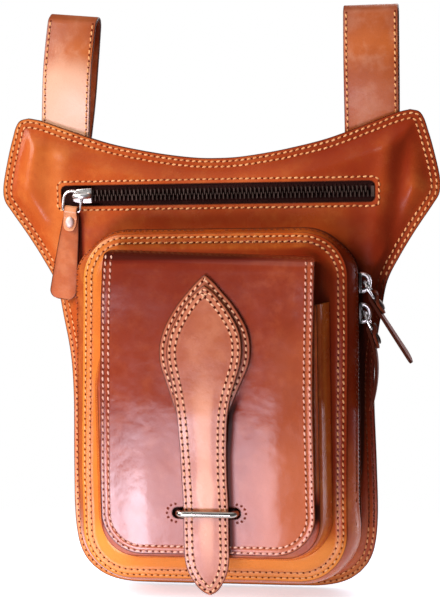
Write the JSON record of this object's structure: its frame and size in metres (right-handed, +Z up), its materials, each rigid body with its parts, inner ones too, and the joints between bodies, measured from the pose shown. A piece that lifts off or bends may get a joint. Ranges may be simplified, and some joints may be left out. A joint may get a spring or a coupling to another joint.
{
  "type": "belt bag",
  "caption": "Leather belt bag with a wide zipped yoke, belt loops, a gusseted zip pocket and a flap pocket closed by a spear-head strap under a metal keeper.",
  "frame": {"origin": "midway between the two belt loops, on the underside of their top folds and in the middle of the room for the belt, where the belt bears", "axes": "+X towards the viewer's right seen from the front, +Y towards the wearer, so the front faces -Y, and +Z up"},
  "size_m": [0.23, 0.0732, 0.304],
  "materials": {
    "body_leather": "waxed pull-up leather, orange tan with darker burnished folds and a satin gloss",
    "pocket_leather": "waxed pull-up leather, orange tan with a brown burnish towards its seams",
    "flap_leather": "waxed pull-up leather, reddish brown, glossy and cloudy in tone",
    "strap_leather": "light orange tan leather with a smooth satin gloss and dark painted edges",
    "pull_leather": "tan leather, plain, with dark painted edges",
    "zip_tape": "dark brown woven zip tape",
    "zip_teeth": "dark antique metal zip teeth",
    "polished_steel": "polished nickel-plated steel"
  },
  "bodies": {
    "root": {"back_panel": "body_leather", "front_panel": "body_leather", "yoke_zip_tape": "zip_tape", "yoke_zip_chain": "zip_teeth", "yoke_end_stop": "zip_teeth", "yoke_slider": "polished_steel", "yoke_pull_ring": "polished_steel", "yoke_pull_tab": "pull_leather", "yoke_pull_rivet": "polished_steel", "pocket_gusset": "pocket_leather", "pocket_zip_tape": "zip_tape", "pocket_zip_chain": "zip_teeth", "pocket_front": "pocket_leather", "upper_slider": "polished_steel", "upper_pull_ring": "polished_steel", "upper_pull_tab": "pull_leather", "upper_pull_rivet": "polished_steel", "lower_slider": "polished_steel", "lower_pull_ring": "polished_steel", "lower_pull_tab": "pull_leather", "lower_pull_rivet": "polished_steel", "flap_pocket_gusset": "pocket_leather", "flap_pocket_front": "pocket_leather", "flap": "flap_leather", "strap_backing": "strap_leather", "closure_strap": "strap_leather", "keeper_loop": "polished_steel", "belt_loop_left": "body_leather", "belt_loop_right": "body_leather"}
  },
  "joints": []
}
